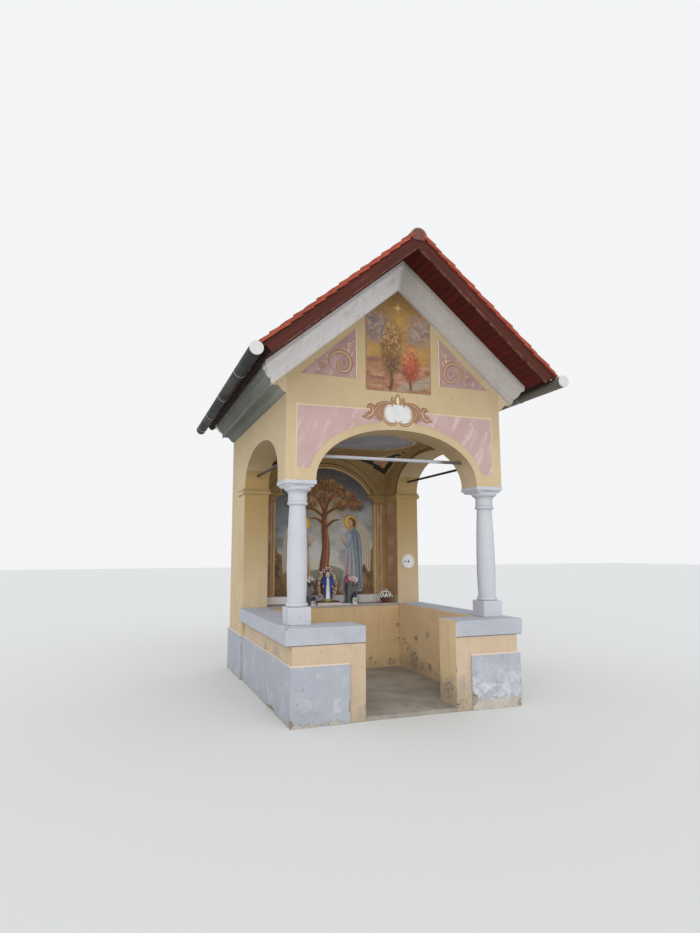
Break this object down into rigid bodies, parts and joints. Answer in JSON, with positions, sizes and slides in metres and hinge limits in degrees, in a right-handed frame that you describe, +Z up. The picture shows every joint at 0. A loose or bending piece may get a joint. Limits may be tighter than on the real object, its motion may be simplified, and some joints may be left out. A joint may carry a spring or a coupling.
{
  "type": "wayside shrine",
  "caption": "Open roadside shrine: gabled tile roof on arched walls and front columns, vaulted bay with parapet, rear niche and altar.",
  "frame": {"origin": "on the ground, below the middle of the whole shrine's box, gutters included", "axes": "+Z up, -Y towards the entrance front, +X to the right when facing the entrance"},
  "size_m": [3.5018, 4.082, 4.9213],
  "materials": {
    "ochre_plaster": "painted lime plaster, matt, stained and chipped near the ground",
    "grey_render": "painted cement render, matt, flaking at the foot",
    "white_lime_paint": "white painted stone, matt, lightly worn",
    "brown_plaster": "painted plaster with lined bands, matt",
    "concrete": "worn concrete",
    "grey_iron": "grey painted iron",
    "black_iron": "black painted iron",
    "painted_wood": "red-brown stained boards",
    "raw_wood": "sawn softwood",
    "clay_tile": "unglazed red clay, weathered",
    "gutter_metal": "dark grey coated sheet",
    "white_enamel": "white enamel",
    "painted_ceramic": "painted, semi-gloss",
    "grey_stone": "honed grey stone",
    "brown_clay": "brown fired clay"
  },
  "bodies": {
    "root": {"floor_slab": "concrete", "left_parapet": "ochre_plaster", "right_parapet": "ochre_plaster", "left_coping": "grey_render", "right_coping": "grey_render", "left_socle": "grey_render", "right_socle": "grey_render", "rear_socle": "grey_render", "left_plinth": "white_lime_paint", "right_plinth": "white_lime_paint", "left_shaft": "white_lime_paint", "right_shaft": "white_lime_paint", "left_capital": "white_lime_paint", "right_capital": "white_lime_paint", "front_wall": "ochre_plaster", "left_wall": "ochre_plaster", "right_wall": "ochre_plaster", "rear_wall": "ochre_plaster", "jamb_imposts": "ochre_plaster", "pilaster_caps": "brown_plaster", "altar_block": "ochre_plaster", "altar_top": "grey_render", "vault": "brown_plaster", "front_tie": "grey_iron", "side_ties": "black_iron", "left_cornice": "grey_render", "right_cornice": "grey_render", "front_gable_cornice": "white_lime_paint", "rear_gable_cornice": "white_lime_paint", "left_deck": "painted_wood", "right_deck": "painted_wood", "battens": "raw_wood", "left_tiles": "clay_tile", "right_tiles": "clay_tile", "ridge_tiles": "clay_tile", "barge_boards": "painted_wood", "eaves_boards": "painted_wood", "left_gutter": "gutter_metal", "right_gutter": "gutter_metal", "gutter_brackets": "gutter_metal", "wall_cover": "white_enamel", "statuette": "painted_ceramic", "vases": "grey_stone", "lanterns": "white_enamel", "flower_bowl": "brown_clay"}
  },
  "joints": []
}
